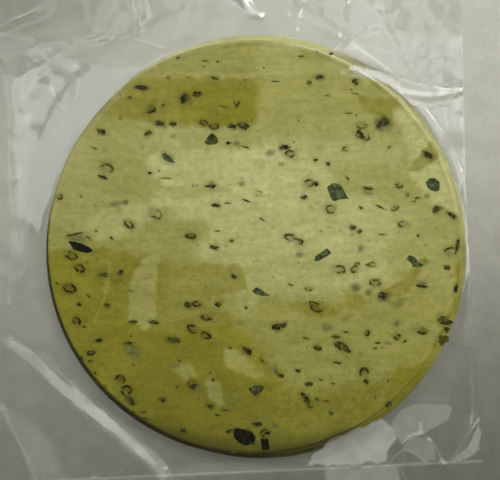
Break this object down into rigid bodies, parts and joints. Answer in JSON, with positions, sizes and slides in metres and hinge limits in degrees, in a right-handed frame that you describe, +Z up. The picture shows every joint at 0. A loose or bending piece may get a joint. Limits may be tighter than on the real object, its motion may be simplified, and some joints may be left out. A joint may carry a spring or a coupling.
{
  "type": "bag of papadums",
  "caption": "Flat clear sealed bag that holds a stack of thin round raw papadums flecked with green garlic leaf and chilli.",
  "frame": {"origin": "under the middle of the bag's outline, on the surface that the bag lies on", "axes": "+Z up, through the stack; +Y along the bag, towards the header that was sealed after filling; +X across the bag"},
  "size_m": [0.178, 0.203, 0.0065],
  "materials": {
    "bag_film": "clear, glossy polypropylene film with heat-sealed ends",
    "papadum_dough": null,
    "garlic_leaf": "dried dark green leaf, pressed into the dough",
    "chilli_seed": "dried flat seeds with dark rims, pressed into the dough"
  },
  "bodies": {
    "root": {"papadum_pack": "bag_film"}
  },
  "joints": []
}
